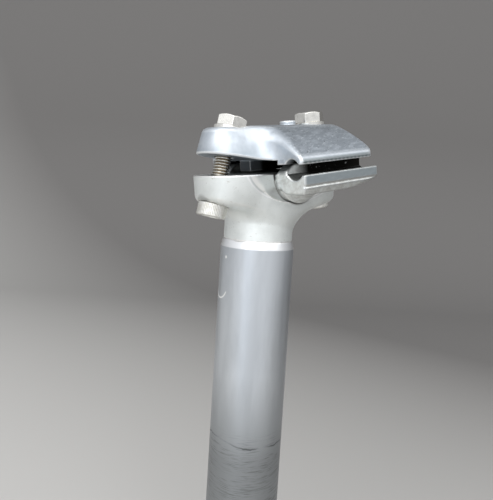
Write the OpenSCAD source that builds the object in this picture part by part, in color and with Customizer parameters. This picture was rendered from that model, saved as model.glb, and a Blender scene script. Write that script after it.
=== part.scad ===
// Two-bolt bicycle seatpost: a pressed-in forged head, a rocking lower clamp,
// an upper clamp with two ears, and two inclined bolts in round nuts.
// +Z runs up the shaft, +X points to the rear of the bicycle, and the origin is
// on the shaft's axis at the height of the frame's seat collar.

/* [Shaft] */
// Outside diameter of the shaft
shaft_d = 27.2; // [25.0:0.2:31.8]
// Wall thickness of the shaft
shaft_wall = 2.4; // [1.8:0.1:3.2]
// Shaft above the seat collar, up to the foot of the end bevel
shaft_out = 71; // [40:1:120]
// Shaft inside the frame
shaft_in = 109; // [70:1:180]
// Height of the polished bevel at the top of the shaft
bevel_h = 2.7; // [1.5:0.1:4]
// How far the bevel runs in
bevel_in = 0.6; // [0.2:0.1:0.9]

/* [Head] */
// Diameter of the neck above the shaft
neck_d = 25.4; // [24.4:0.2:25.6]
// Depth of the spigot inside the shaft
spigot_l = 24; // [15:1:35]
// Gap round the spigot for the bonded joint
spigot_gap = 0.05; // [0.02:0.01:0.15]
// Cradle axis behind the shaft's axis
setback = 5.8; // [0:0.2:8]
// Cradle axis above the foot of the end bevel
seat_rise = 28.1; // [26:0.1:34]
// Rise of the lugs to the rear, in degrees
head_tilt = 6.2; // [3:0.1:9]
// Front lug's end from the cradle axis
front_reach = 33.3; // [32.8:0.1:36]
// Rear lug's end from the cradle axis
rear_reach = 27.2; // [27:0.1:31]
// Half width of the head across the cradle
lug_half_w = 13.6; // [13:0.1:15]
// Lug thickness along the bolt
lug_grip = 10.4; // [8:0.1:12]
// Radius under the front lug where it meets the neck
front_fillet = 5; // [2:0.5:7]
// Radius under the rear lug where it meets the neck
rear_fillet = 8; // [5:0.5:9]
// Rise of the rear lug's underside, in degrees
rear_web_angle = 16; // [14:0.5:18]
// Height of that underside's corner with the neck above the shaft's end
rear_web_z = 10.8; // [10:0.1:12]
// Recess in which the rear nut sits, and the spot face over the front one
nut_seat_d = 11.4; // [11:0.1:12]
// Depth of the front spot face
spot_depth = 0.3; // [0.2:0.1:0.8]

/* [Clamps] */
// Rise of both clamps to the rear, in degrees
clamp_tilt = 9.3; // [5:0.1:12]
// Radius of the rocking half barrel
rocker_r = 11; // [9.5:0.1:11.5]
// Running gap between the half barrel and its cradle
rocker_gap = 0.15; // [0.05:0.05:0.3]
// Half length of the half barrel
rocker_half_l = 14.3; // [13.9:0.1:16]
// Diameter of the saddle rails
rail_d = 7; // [6.8:0.1:7.2]
// Distance between the rails' centres
rail_spacing = 44; // [42:0.5:46]
// Outer face of the wings from the middle
wing_half_w = 26.6; // [26.4:0.1:29]
// Skew of the lower wings' front end, in degrees
end_skew = -5.5; // [-8:0.5:-3]
// Rear end of the lower wings from the cradle axis
wing_rear = 27.9; // [22:0.1:32]
// Height of the lower wings' underside
lower_under = -6.7; // [-7:0.1:-6.3]
// Front end of the upper wings from the cradle axis
roof_front = 11.2; // [9:0.1:12]
// Rear end of the upper wings from the cradle axis
roof_rear = 26; // [22:0.1:32]
// Gap between the two clamps at their outer lips
lip_gap = 3.5; // [3:0.1:4]
// Height of the lower clamp's outer lip
lower_lip = 3.9; // [3:0.1:5]
// Height of the upper clamp's outer lip
upper_lip = 2.1; // [1.5:0.1:3.5]
// Width of the strips inside the grooves on which the clamps meet
meet_w = 2.5; // [1.5:0.1:3.5]
// Top of the ears above the cradle axis
ear_top = 17.8; // [16:0.1:20]
// How far the top falls from the cradle to the rear bolt
top_fall = 1.1; // [0.5:0.1:1.5]
// Half width of the flat top
top_half_w = 7.5; // [6:0.1:9]
// Radius of the crown from the flat top to the lip
crown_r = 50; // [40:1:90]
// Front ear's end from the cradle axis
front_ear = 32.2; // [30.5:0.1:34]
// Rear ear's end from the cradle axis
rear_ear = 27.6; // [27.2:0.1:31]
// Half width of the ears at the foot
ear_half_w = 10; // [9.8:0.1:11.5]
// How far each side of the ears leans in over its height
ear_draft = 3.2; // [1:0.1:3.3]

/* [Bolts] */
// Bolt diameter
bolt_d = 6; // [5:0.5:6.5]
// Clear hole round a bolt, in the lugs and ears
bolt_hole_d = 6.6; // [6.6:0.1:8]
// Gap between the thread and its nut
thread_gap = 0.05; // [0.02:0.01:0.1]
// Front bolt from the cradle axis, at the top of its lug
front_bolt_x = 24.9; // [24:0.1:25.5]
// Rear bolt from the cradle axis, at the top of its lug
rear_bolt_x = 20.9; // [20:0.1:21.5]
// Inward lean of both bolts from the shaft's axis, in degrees
bolt_splay = 11.2; // [9:0.1:13]
// Hexagon head across its flats
hex_af = 10; // [8:0.5:11]
// Height of the hexagon head
hex_h = 4; // [3.5:0.1:5]
// Angle at which the rear hexagon stopped, in degrees
rear_hex_turn = 30; // [0:5:55]
// Washer diameter
washer_d = 12; // [11:0.5:13]
// Washer thickness
washer_t = 1.4; // [1:0.1:1.8]
// Diameter of the round nuts
nut_d = 10.4; // [9.5:0.1:11]
// Height of the round nuts
nut_h = 4.6; // [4:0.1:6]

/* [Hidden] */
$fn = 96;
eps = 0.01;
big = 200;

shaft_r = shaft_d / 2;
bore_r = shaft_r - shaft_wall;
shoulder_z = shaft_out + bevel_h;
neck_r = neck_d / 2;
spigot_r = bore_r - spigot_gap;
cradle_z = shaft_out + seat_rise;
cradle_r = rocker_r + rocker_gap;
rail_r = rail_d / 2;
rail_y = rail_spacing / 2;
// The lower lip's top is level with the cradle axis, and the rails sit in mid gap
lip_z = 0.2;
rail_z = lip_z + lip_gap / 2;
upper_z = lip_z + lip_gap;
turn = clamp_tilt - head_tilt;
// In these, side is -1 for the front bolt or lug and 1 for the rear one
function bolt_x(side) = side < 0 ? front_bolt_x : rear_bolt_x;
function reach(side) = side < 0 ? front_reach : rear_reach;
function fillet_r(side) = side < 0 ? front_fillet : rear_fillet;
// Inward lean of a bolt from the head's normal, and from the clamps' normal
function lean(side) = bolt_splay - side * head_tilt;
function clamp_lean(side) = bolt_splay - side * clamp_tilt;
// How far each hexagon was turned when it was tightened
function head_turn(side) = side < 0 ? 0 : rear_hex_turn;
// Height of the upper clamp's top at a bolt
function seat_z(side) = side < 0 ? ear_top : ear_top - top_fall;
// Washer seat along a bolt, from the lug's top face
function seat_t(side) =
    (seat_z(side) - washer_d / 2 * sin(clamp_lean(side)) + side * bolt_x(side) * sin(turn))
    / cos(clamp_lean(side));

// Frame of the head: X along the lugs, origin on the cradle axis
module in_head() {
    translate([setback, 0, cradle_z]) rotate([0, -head_tilt, 0]) children();
}

// Frame of the two clamps, which rock about the cradle axis
module in_clamp() {
    translate([setback, 0, cradle_z]) rotate([0, -clamp_tilt, 0]) children();
}

// Frame of a bolt: Z up its axis, origin where it leaves the lug's top face
module in_bolt(side) {
    in_head() translate([side * bolt_x(side), 0, 0])
        rotate([0, -side * lean(side), 0]) children();
}

// Cylinder that lies along Y, centred
module along_y(r, l, r2 = -1) {
    rotate([90, 0, 0]) cylinder(r1 = r, r2 = r2 < 0 ? r : r2, h = l, center = true);
}

module shaft_tube() {
    color([0.78, 0.79, 0.80]) rotate_extrude()
        polygon([
            [bore_r, -shaft_in],
            [shaft_r - 0.5, -shaft_in],
            [shaft_r, -shaft_in + 0.5],
            [shaft_r, shaft_out],
            [shaft_r - bevel_in, shoulder_z],
            [bore_r, shoulder_z]
        ]);
}

// Block with coned ends about the axes xa and xb, r0 wide each side at its foot z0
module drafted_block(xa, xb, z0, h, r0, r1) {
    for (x = [xa, xb]) translate([x, 0, z0]) cylinder(r1 = r0, r2 = r1, h = h);
    translate([xa, 0, z0]) rotate([90, 0, 90]) linear_extrude(xb - xa)
        polygon([[-r0, 0], [r0, 0], [r1, h], [-r1, h]]);
}

// Where a bolt's axis meets the underside of its lug, in the shaft's frame
function foot_u(side) = side * (bolt_x(side) + lug_grip * sin(lean(side)));
function foot_x(side) =
    setback + foot_u(side) * cos(head_tilt) + lug_grip * cos(lean(side)) * sin(head_tilt);
function foot_z(side) =
    cradle_z + foot_u(side) * sin(head_tilt) - lug_grip * cos(lean(side)) * cos(head_tilt);
// Rise of a lug's underside away from the neck, and its corner with the neck
function web_angle(side) = side < 0 ? bolt_splay : rear_web_angle;
function corner_z(side) = side < 0
    ? foot_z(side) - spot_depth - (abs(foot_x(side)) - neck_r) * tan(bolt_splay)
    : shoulder_z + rear_web_z;

// Side view of both lugs in the shaft's frame
module lugs_side() {
    out = 45 - neck_r;
    polygon([
        [-45, corner_z(-1) + out * tan(web_angle(-1))],
        [-neck_r, corner_z(-1)],
        [neck_r, corner_z(1)],
        [45, corner_z(1) + out * tan(web_angle(1))],
        [45, cradle_z + 20],
        [-45, cradle_z + 20]
    ]);
}

// Half profile of the neck with the rounded corner under a lug
module neck_profile(side) {
    r = fillet_r(side);
    t = r * tan((90 - web_angle(side)) / 2);
    reach_r = neck_r + t * cos(web_angle(side));
    difference() {
        polygon([
            [0, shoulder_z],
            [neck_r - 0.4, shoulder_z],
            [neck_r, shoulder_z + 0.4],
            [neck_r, corner_z(side) - t],
            [reach_r, corner_z(side) + t * sin(web_angle(side))],
            [reach_r, cradle_z + 2],
            [0, cradle_z + 2]
        ]);
        translate([neck_r + r, corner_z(side) - t]) circle(r);
    }
}

module head() {
    // Depth over which the sides lean in from the head's width to the neck's
    deep = 16;
    difference() {
        intersection() {
            union() {
                // The two lugs seen from the side
                rotate([90, 0, 0]) linear_extrude(4 * lug_half_w, center = true) lugs_side();
                // Neck, rounded out under each lug
                for (side = [-1, 1]) rotate([0, 0, side < 0 ? 90 : -90])
                    rotate_extrude(angle = 180) neck_profile(side);
            }
            // Round-ended plan with leaning sides
            union() {
                in_head() drafted_block(
                    lug_half_w - front_reach, rear_reach - lug_half_w, -deep, deep,
                    neck_r, lug_half_w
                );
                translate([0, 0, shoulder_z - 1]) cylinder(r = neck_r, h = seat_rise);
            }
        }
        in_head() {
            // Half-round cradle across the head
            along_y(cradle_r, big);
            translate([-big / 2, -big / 2, 0]) cube(big);
        }
        for (side = [-1, 1]) in_bolt(side) translate([0, 0, -30]) {
            cylinder(d = bolt_hole_d, h = 60);
            cylinder(d = nut_seat_d, h = 30 - lug_grip);
        }
    }
    // Spigot in the shaft
    translate([0, 0, shoulder_z - spigot_l]) cylinder(r = spigot_r, h = spigot_l + 1);
}

// Section of one lower wing, seen from the front, with the rail's groove
module lower_wing_section() {
    inner = rocker_half_l - 0.5;
    difference() {
        polygon([
            [inner, -4.6],
            [inner + 1.4, -6],
            [inner + 3.6, lower_under],
            [wing_half_w - 2.4, lower_under],
            [wing_half_w - 0.6, -5.6],
            [wing_half_w, lip_z - lower_lip],
            [wing_half_w, lip_z],
            [rail_y - rail_r, lip_z],
            [rail_y - rail_r, rail_z],
            [rail_y - rail_r, upper_z],
            [inner, upper_z]
        ]);
        translate([rail_y, rail_z]) circle(rail_r);
    }
}

module lower_clamp() {
    in_clamp() difference() {
        union() {
            difference() {
                along_y(rocker_r, 2 * rocker_half_l);
                translate([-big / 2, -big / 2, lip_z]) cube(big);
            }
            for (m = [0, 1]) mirror([0, m, 0]) {
                // The half barrel's end runs out under the wing, clear of the groove
                difference() {
                    translate([0, rocker_half_l + 3, 0]) along_y(8.5, 6, rocker_r);
                    translate([-big / 2, -big / 2, rail_z - rail_r - 0.25]) cube(big);
                }
                translate([-12, 0, 0]) rotate([90, 0, 90])
                    linear_extrude(12 + wing_rear) lower_wing_section();
            }
        }
        for (m = [0, 1]) mirror([0, m, 0]) {
            // Front end, out from the barrel to the lip
            translate([-rocker_r, rocker_half_l, 0]) rotate([0, 0, end_skew])
                translate([-20, -5, -20]) cube([20, 25, 40]);
            // The ridge between the grooves starts on a slope
            rotate([90, 0, 0]) linear_extrude(60, center = true)
                polygon([[-20, 1], [-10.6, 1], [-7, upper_z + 0.2], [-7, 10], [-20, 10]]);
            // The wings thin out to the rear
            translate([16, rocker_half_l, lower_under])
                rotate([0, -12, 0]) translate([0, -1, -20]) cube([60, 24, 20]);
        }
    }
}

// Half section of the upper clamp across the wings
module roof_section() {
    // The crown is an arc from the lip to the flat top
    dy = wing_half_w - top_half_w;
    dz = ear_top - upper_z - upper_lip;
    chord = sqrt(dy * dy + dz * dz);
    back = sqrt(crown_r * crown_r - chord * chord / 4);
    difference() {
        intersection() {
            polygon([
                [-eps, 5.2],
                [rail_y - rail_r - meet_w, 5.2],
                [rail_y - rail_r - meet_w, upper_z],
                [wing_half_w, upper_z],
                [wing_half_w, ear_top],
                [-eps, ear_top]
            ]);
            translate([
                (wing_half_w + top_half_w) / 2 - back * dz / chord,
                (ear_top + upper_z + upper_lip) / 2 - back * dy / chord
            ]) circle(crown_r, $fn = 360);
        }
        translate([rail_y, rail_z]) circle(rail_r);
    }
}

// Side view of the whole upper clamp: thick ears, and a top that falls to the rear
module upper_side() {
    polygon([
        [-40, 11],
        [-front_ear, 9.4],
        [-roof_front - 2, 5.2],
        [-roof_front - 2, 0],
        [roof_rear, 0],
        [roof_rear, 7],
        [40, 10],
        [40, ear_top - 2 * top_fall],
        [4, ear_top],
        [-40, ear_top]
    ]);
}

module upper_clamp() {
    // Height over which the ears' sides lean in
    rise = ear_top - 9;
    difference() {
        in_clamp() {
            intersection() {
                rotate([90, 0, 0]) linear_extrude(3 * wing_half_w, center = true) upper_side();
                union() {
                    for (m = [0, 1]) mirror([0, m, 0]) translate([-roof_front, 0, 0])
                        rotate([90, 0, 90]) linear_extrude(roof_front + roof_rear)
                            roof_section();
                    drafted_block(
                        ear_half_w - front_ear, rear_ear - ear_half_w, 5.2, ear_top - 5.2,
                        ear_half_w + ear_draft * 3.8 / rise, ear_half_w - ear_draft
                    );
                }
            }
            // Keel over the cradle, between the rails
            translate([-13.5, -3, 1.4]) cube([25, 6, 6]);
            // Round pad on top, ahead of the rear bolt
            translate([8.5, 0, ear_top - 2]) cylinder(r = 3, h = 3);
        }
        for (side = [-1, 1]) in_bolt(side) {
            cylinder(d = bolt_hole_d, h = 45);
            translate([0, 0, seat_t(side)]) cylinder(d = washer_d + 1, h = 20);
        }
    }
}

module bolt(side) {
    start = -lug_grip - nut_h + 0.4;
    in_bolt(side) {
        translate([0, 0, start]) cylinder(d = bolt_d, h = seat_t(side) + washer_t - start + eps);
        translate([0, 0, seat_t(side) + washer_t]) intersection() {
            rotate([0, 0, head_turn(side)])
                cylinder(d = hex_af / cos(30), h = hex_h, $fn = 6);
            // Chamfer round the head's top
            cylinder(r1 = hex_af / 2 + hex_h * 1.7 + 0.1, r2 = hex_af / 2 - 0.4, h = hex_h + 0.15);
        }
    }
}

module front_bolt() {
    color([0.80, 0.80, 0.78]) bolt(-1);
}

module rear_bolt() {
    color([0.80, 0.80, 0.78]) bolt(1);
}

module washer(side) {
    in_bolt(side) translate([0, 0, seat_t(side)]) difference() {
        cylinder(d = washer_d, h = washer_t);
        translate([0, 0, -1]) cylinder(d = bolt_hole_d, h = washer_t + 2);
    }
}

module front_washer() {
    color([0.70, 0.70, 0.70]) washer(-1);
}

module rear_washer() {
    color([0.70, 0.70, 0.70]) washer(1);
}

module nut(side) {
    in_bolt(side) translate([0, 0, -lug_grip - nut_h]) difference() {
        cylinder(d = nut_d, h = nut_h);
        translate([0, 0, -1]) cylinder(d = bolt_d + 2 * thread_gap, h = nut_h + 2);
    }
}

module front_nut() {
    color([0.84, 0.83, 0.78]) nut(-1);
}

module rear_nut() {
    color([0.84, 0.83, 0.78]) nut(1);
}

shaft_tube();
color([0.80, 0.80, 0.78]) head();
color([0.76, 0.76, 0.74]) lower_clamp();
color([0.74, 0.76, 0.78]) upper_clamp();
front_bolt();
rear_bolt();
front_washer();
rear_washer();
front_nut();
rear_nut();
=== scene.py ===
"""Looks of a bicycle seatpost: a polished aluminium shaft, a forged head and a two-bolt saddle clamp.

Sizes are in millimetres in the part's own frame: +Z up the shaft, +X to the rear, the near side at -Y.
"""

import math

import bmesh
import bpy
import numpy as np
from mathutils import Matrix, Vector


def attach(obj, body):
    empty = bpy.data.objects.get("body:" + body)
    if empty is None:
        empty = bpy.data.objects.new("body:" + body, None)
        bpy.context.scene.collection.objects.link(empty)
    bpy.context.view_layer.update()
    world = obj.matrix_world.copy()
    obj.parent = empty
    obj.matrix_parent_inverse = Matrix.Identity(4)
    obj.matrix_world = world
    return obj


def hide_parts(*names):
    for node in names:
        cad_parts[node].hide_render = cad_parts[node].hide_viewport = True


bl_info = {
    "name": "Seatpost with a Two-Bolt Saddle Clamp",
    "version": (1, 1, 0),
    "blender": (4, 5, 0),
    "location": "View3D > Sidebar > Seatpost",
    "description": "Builds the shaft, head, clamps and bolts of a seatpost on its CAD frame",
    "category": "Add Mesh",
}

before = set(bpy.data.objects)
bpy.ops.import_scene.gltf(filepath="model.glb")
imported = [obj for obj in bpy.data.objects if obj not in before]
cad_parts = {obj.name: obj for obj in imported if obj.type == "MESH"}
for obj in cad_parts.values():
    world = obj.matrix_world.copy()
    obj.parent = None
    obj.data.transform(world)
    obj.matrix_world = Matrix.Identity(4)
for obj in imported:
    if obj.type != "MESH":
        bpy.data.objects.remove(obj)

MM = 0.001

# Shaft
SHAFT_R = 13.6
BORE_R = 11.2
SHAFT_FOOT = -109.0
BEVEL_FOOT = 71.0
SHOULDER_Z = 73.7
# The curved pale scratch on it, as its centre and radius, and the speck above it
ARC_AT = (-13.5, 4.0, 56.6)
ARC_R = 4.6
SPECK_AT = (-13.58, 0.8, 67.3)

# Head
NECK_R = 12.7
SPIGOT_R = 11.15
# Lower end of the spigot in the shaft, and its upper end inside the neck
SPIGOT_ENDS = (49.7, 78.0)
# Axis of the half-round cradle, as X and Z, about which both clamps rock
CRADLE = (5.8, 99.1)
HEAD_TILT = math.radians(6.2)
HEAD_HALF_W = 13.6
# Where the lugs' undersides meet the neck's front and rear, and how the rear one rises
LUG_FEET = (84.27, 84.5)
REAR_RISE = 0.287
# Centres of the rounded ends, along the lugs from the cradle
LUG_ENDS = (-19.7, 13.6)
LUG_GRIP = 10.4
BOLT_HOLE_R = 3.3
NUT_SEAT_R = 5.7

# Lower clamp: its rocker, the cradle that it lies in, and its wings
CLAMP_TILT = math.radians(9.3)
ROCKER_R = 11.0
ROCKER_HALF_L = 14.3
CRADLE_R = ROCKER_R + 0.15
WING_ROOT_Y = 13.8
WING_FOOT_Z = -6.7
WING_HALF_W = 26.6
WING_REAR = 27.9
LIP_Z = 0.2
RIDGE_Y = 18.5
# One saddle rail in the clamps' frame, as Y and Z, and its radius
RAIL = (22.0, 1.95)
RAIL_R = 3.5

# Upper clamp
ROOF_Z = 3.7
ROOF_INNER_Z = 5.2
EAR_TOP = 17.8
# Half width of the flat on top, height of the lip, and radius of the arc between them
FLAT_HALF_W = 7.5
LIP_TOP_Z = 5.8
CROWN_R = 50.0
# Front and rear ends of the wings, and centres of the ears' rounded ends
ROOF_ENDS = (-11.2, 26.0)
EAR_CENTRES = (-22.2, 17.6)
EAR_R = 10.0

# Bolts, washers and nuts
BOLT_SPLAY = math.radians(11.2)
WASHER_R = 6.0
WASHER_T = 1.4
HEX_ACROSS = 10.0
HEX_H = 4.0
NUT_R = 5.2
NUT_H = 4.6
NUT_BORE_R = 3.05
# Each bolt: side of the cradle, distance of its axis from the cradle, washer seat's height, turn of its head
BOLTS = {"front": (-1, 24.9, 17.8, 0.0), "rear": (1, 20.9, 16.7, 30.0)}

# The photograph's camera: its longer side, focal length and vertical shift in pixels, its azimuth, elevation and
# roll in degrees, and its lens's place back from, across and above the foot of the shaft's bevel
FRAME_PX = 500.0
FOCAL_PX = 509.67
SHIFT_PX = -32.54
EYE_TURN = (-38.47, 3.18, 3.5)
EYE_PLACE = (190.84, -4.0, 10.73)

# Direction in which the room is brightest, up and to the front left, and the point that the lamps face, in metres
ROOM_BRIGHT = (-0.62, -0.5, 0.6)
LAMP_AIM = (0.0, 0.0, 0.09)
# Lamps: name, place in metres, width and height in metres, watts and colour
LAMPS = (
    ("Overhead", (-0.62, -0.55, 0.85), (1.2, 1.0), 8.0, "#FFFFFF"),
    ("Front", (-1.0, -0.5, 0.12), (0.5, 0.8), 0.5, "#E4F0FF"),
    ("Right", (0.42, -0.78, 0.62), (0.6, 0.4), 1.7, "#FFFFFF"),
)


# Solids from distance fields, negative inside


def join(a, b, r):
    """Both solids, with an inside corner of radius r between them."""
    return np.maximum(r, np.minimum(a, b)) - np.hypot(np.maximum(r - a, 0), np.maximum(r - b, 0))


def both(a, b, r):
    """Only where the two solids overlap, with an outside corner of radius r."""
    return np.minimum(-r, np.maximum(a, b)) + np.hypot(np.maximum(r + a, 0), np.maximum(r + b, 0))


def turned(x, z, tilt):
    """Coordinates from the cradle's axis in a frame whose X axis rises by tilt."""
    u, w = x - CRADLE[0], z - CRADLE[1]
    return u * math.cos(tilt) + w * math.sin(tilt), w * math.cos(tilt) - u * math.sin(tilt)


def from_bolt(x, y, z, side, reach):
    """Distance from a bolt's axis, and height along it from the head's top face."""
    u, w = turned(x, z, HEAD_TILT)
    lean = BOLT_SPLAY - side * HEAD_TILT
    u = u - side * reach
    across = u * math.cos(lean) + side * w * math.sin(lean)
    return np.hypot(across, y), w * math.cos(lean) - side * u * math.sin(lean)


def seat_height(side, reach, top):
    """Height of the washer's seat along a bolt, from the head's top face."""
    lean = BOLT_SPLAY - side * CLAMP_TILT
    return (top - WASHER_R * math.sin(lean) + side * reach * math.sin(CLAMP_TILT - HEAD_TILT)) / math.cos(lean)


def bolt_matrix(side, reach):
    """Places a bolt drawn along +Z, with its zero on the head's top face, in millimetres."""
    head = Matrix.Translation((CRADLE[0], 0, CRADLE[1])) @ Matrix.Rotation(-HEAD_TILT, 4, "Y")
    lean = BOLT_SPLAY - side * HEAD_TILT
    return head @ Matrix.Translation((side * reach, 0, 0)) @ Matrix.Rotation(-side * lean, 4, "Y")


def surface_mesh(name, field, low, high, step, marks=None):
    """Mesh of the surface where field is zero: one vertex in each cell that it crosses, then drawn onto it.

    marks gives named 0 to 1 values at each vertex for the material, and "edge" holds 1 on sharp outside edges, which
    carry a painted highlight on the head and cover and painted shade on the lower clamp.
    """
    low = np.array(low, float)
    count = np.ceil((np.array(high) - low) / step).astype(int) + 1
    axes = [low[i] + step * np.arange(count[i]) for i in range(3)]
    value = np.empty(count, np.float32)
    for i, x in enumerate(axes[0]):
        value[i] = field(*np.meshgrid([x], axes[1], axes[2], indexing="ij"))[0]
    inside = value < 0
    cells = np.zeros(count - 1, int)
    for dx in (0, 1):
        for dy in (0, 1):
            for dz in (0, 1):
                cells += inside[dx : count[0] - 1 + dx, dy : count[1] - 1 + dy, dz : count[2] - 1 + dz]
    crossed = (cells > 0) & (cells < 8)
    number = np.full(count - 1, -1)
    number[crossed] = np.arange(crossed.sum())
    points = low + step * (np.argwhere(crossed) + 0.5)
    h = step * 0.05
    for _ in range(6):
        here = field(*points.T)
        slope = np.stack([field(*(points + h * e).T) - field(*(points - h * e).T) for e in np.eye(3)], 1) / (2 * h)
        move = slope * (here / np.maximum((slope**2).sum(1), 0.2))[:, None]
        points -= np.clip(move, -step * 0.5, step * 0.5)
    faces = []
    for axis in range(3):
        a, b = (axis + 1) % 3, (axis + 2) % 3
        first = np.take(inside, range(count[axis] - 1), axis)
        second = np.take(inside, range(1, count[axis]), axis)
        for edge, flip in ((first & ~second, False), (~first & second, True)):
            at = np.argwhere(edge)
            at = at[(at[:, a] > 0) & (at[:, b] > 0) & (at[:, a] < count[a] - 1) & (at[:, b] < count[b] - 1)]
            ring = []
            for da, db in ((1, 1), (0, 1), (0, 0), (1, 0)):
                corner = at.copy()
                corner[:, a] -= da
                corner[:, b] -= db
                ring.append(number[tuple(corner.T)])
            faces.append(np.stack(ring[::-1] if flip else ring, 1))
    mesh = bpy.data.meshes.new(name)
    mesh.from_pydata((points * MM).tolist(), [], np.concatenate(faces).tolist())
    mesh.shade_smooth()
    # Where the field grows faster to the sides than along the surface, the edge is sharp
    reach = 0.3
    bend = sum(field(*(points + reach * e).T) + field(*(points - reach * e).T) for e in np.eye(3))
    bend = (bend - 6 * field(*points.T)) / reach
    values = {"edge": np.clip((bend - 0.12) / 0.35, 0, 1)}
    if marks:
        values.update(marks(*points.T))
    for key, numbers in values.items():
        mesh.attributes.new(key, "FLOAT", "POINT").data.foreach_set("value", np.asarray(numbers, np.float32))
    mesh.update()
    return mesh


def head_bulge(u, depth):
    """Half width that the head's forged sides would have without their flats."""
    return 16.5 - 0.1 * depth - 0.0165 * depth**2 - u**2 / 180


def head_field(x, y, z):
    """The forged head: a neck, two lugs with barrelled sides, and the half-round cradle."""
    u, w = turned(x, z, HEAD_TILT)
    v, depth = np.abs(y), np.maximum(-w, 0)
    # Round-ended plan, whose ends lean in with depth
    beyond = np.maximum(LUG_ENDS[0] - u, 0) + np.maximum(u - LUG_ENDS[1], 0)
    off = np.hypot(beyond, v)
    plan = off - HEAD_HALF_W + 0.056 * depth * (beyond / np.maximum(off, 1e-6)) ** 2
    bulge = head_bulge(u, depth)
    sides = both(plan, (v - bulge) * 0.93, 2.5)
    front = (LUG_FEET[0] - z + (-x - NECK_R) * math.tan(BOLT_SPLAY)) * math.cos(BOLT_SPLAY)
    rear = (LUG_FEET[1] - z + (x - NECK_R) * REAR_RISE) / math.hypot(1, REAR_RISE)
    lugs = both(sides, np.maximum(front, rear), 2.0)
    neck = np.maximum(np.hypot(x, y) - NECK_R, SHOULDER_Z - z)
    solid = join(lugs, neck, 6.0 + 2.0 * np.clip(x / 10, -1, 1))
    # Flats milled on both sides, with a cove where the cutter ran out
    flat = join(v - 13.0, (bulge - HEAD_HALF_W) * 2.2, 1.2)
    solid = both(solid, flat, 0.15)
    solid = both(solid, w, 0.25)
    solid = both(solid, CRADLE_R - np.hypot(u, w), 0.3)
    for side, reach, _, _ in BOLTS.values():
        off, along = from_bolt(x, y, z, side, reach)
        solid = both(solid, BOLT_HOLE_R - off, 0.25)
        solid = both(solid, -np.maximum(off - NUT_SEAT_R, along + LUG_GRIP), 0.3)
    spigot = np.maximum(np.hypot(x, y) - SPIGOT_R, np.maximum(SPIGOT_ENDS[0] - z, z - SPIGOT_ENDS[1]))
    return np.minimum(solid, spigot)


def head_marks(x, y, z):
    """Where the head is milled, a painted highlight along the lower edge of its flats, and painted shade in the cradle
    and round the nut seats.
    """
    u, w = turned(x, z, HEAD_TILT)
    over = head_bulge(u, np.maximum(-w, 0)) - HEAD_HALF_W
    machined = ((np.abs(y) > 12.85) & (over > 0.12)) | (w > -0.3)
    # A painted highlight: a white line along the lower edge of each flat
    flat_edge_highlight = np.clip(1 - np.abs(over - 0.02) / 0.13, 0, 1) * (np.abs(y) > 12.6) * (np.hypot(u, w) > 11.4)
    # Painted shade: the cradle under the rocker is painted dark, and the nut seats more faintly
    dirt_and_shade = np.clip((11.9 - np.hypot(u, w)) / 0.8, 0, 1)
    for side, reach, _, _ in BOLTS.values():
        off, _ = from_bolt(x, y, z, side, reach)
        dirt_and_shade = np.maximum(dirt_and_shade, 0.35 * np.clip((NUT_SEAT_R + 0.25 - off) / 0.5, 0, 1))
    return {"machined": machined, "flat_edge_highlight": flat_edge_highlight, "dirt_and_shade": dirt_and_shade}


def lower_clamp_field(x, y, z):
    """The half-round rocker in the cradle, with a grooved wing on each side."""
    u, w = turned(x, z, CLAMP_TILT)
    v, off = np.abs(y), np.hypot(u, w)
    barrel = both(both(off - ROCKER_R, v - ROCKER_HALF_L, 0.4), w - LIP_Z, 0.2)
    runout = np.maximum(off - (ROCKER_R - (v - 13.5) * 0.5), np.maximum(v - 20, w + 1.8))
    wing = both(np.maximum(v - WING_HALF_W, WING_ROOT_Y - v), np.maximum(w - LIP_Z, WING_FOOT_Z - w), 0.35)
    wing = both(wing, (v - WING_HALF_W - (w + 3.9) * 0.35) * 0.94, 0.3)
    wing = both(wing, (-w - 3.2 - (v - WING_ROOT_Y) * 1.05) * 0.69, 1.0)
    ridge = both(np.maximum(v - RIDGE_Y, WING_ROOT_Y - v), np.maximum(w - ROOF_Z, -5 - w), 0.4)
    ridge = both(ridge, (-0.79 * (u + 10.6) + (w - 1.0)) * 0.7, 0.6)
    wing = np.minimum(wing, ridge)
    wing = both(wing, RAIL_R - np.hypot(v - RAIL[0], w - RAIL[1]), 0.35)
    # Fine line where the die parted, under the lip
    wing = both(wing, 0.4 - np.hypot(v - WING_HALF_W, w + 3.8), 0.15)
    wing = both(wing, -u - ROCKER_R + (v - ROCKER_HALF_L) * 0.096, 0.9)
    wing = both(wing, u - WING_REAR, 0.6)
    wing = both(wing, WING_FOOT_Z - w + (u - 16) * 0.21, 1.0)
    solid = join(barrel, np.maximum(runout, u - 24), 0.5)
    return join(solid, wing, 1.2)


def lower_clamp_marks(x, y, z):
    """Old grease with painted shade in the rail grooves and between the clamps, and painted shade on the lips' outer
    faces.
    """
    u, w = turned(x, z, CLAMP_TILT)
    v = np.abs(y)
    # Painted shade: the grooves and the top between the clamps are painted near black, fading towards the front
    groove = np.clip((RAIL_R + 0.55 - np.hypot(v - RAIL[0], w - RAIL[1])) / 0.5, 0, 1)
    between = (v < RIDGE_Y + 0.2) & (w > LIP_Z - 0.15)
    # Painted shade: the outer face of each lip is painted darker blue-grey
    lip = np.clip((v - 26.3) / 0.25, 0, 1) * np.clip((w + 3.5) / 0.3, 0, 1)
    return {"dirt_and_shade": np.maximum(groove, between) * np.clip((u + 7) / 7, 0.08, 1), "lip": lip}


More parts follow.
